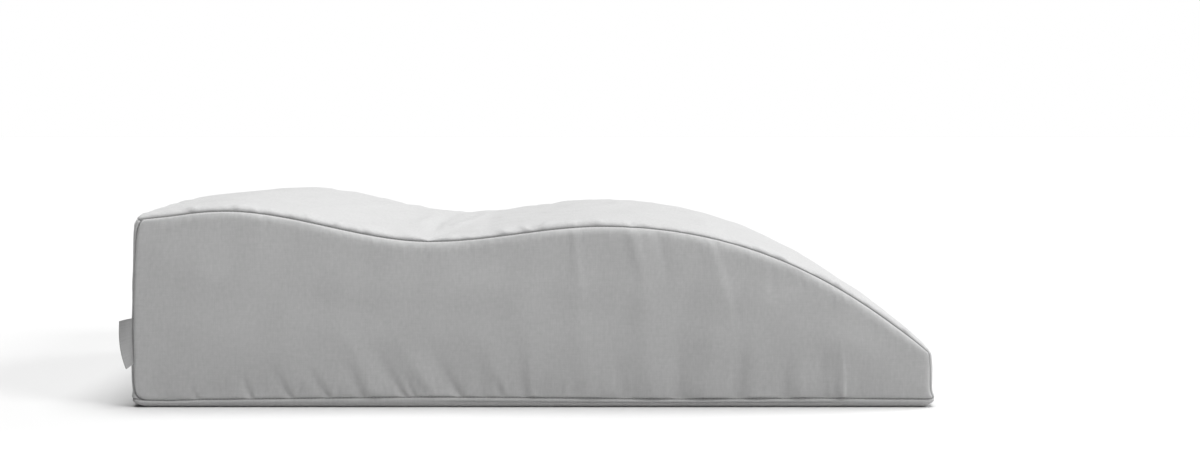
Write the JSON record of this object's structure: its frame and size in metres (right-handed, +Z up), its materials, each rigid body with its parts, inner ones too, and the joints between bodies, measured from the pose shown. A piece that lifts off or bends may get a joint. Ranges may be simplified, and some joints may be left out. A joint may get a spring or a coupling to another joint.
{
  "type": "leg elevation pillow",
  "caption": "Contoured pillow that raises the lower legs: a foam block with a calf hollow, a knee rise and a long thigh slope, in a sewn plain-weave cover.",
  "frame": {"origin": "middle of the flat underside, halfway between the two end seams and the two side panels", "axes": "+X from the high heel end to the low knee end, +Y from the front side panel to the back one, +Z up"},
  "size_m": [0.7391, 0.4633, 0.187],
  "materials": {
    "cover_cloth": "matt grey plain-weave cloth",
    "label_ribbon": "matt grey woven ribbon"
  },
  "bodies": {
    "root": {"cushion": "cover_cloth", "side_label": "label_ribbon"}
  },
  "joints": []
}
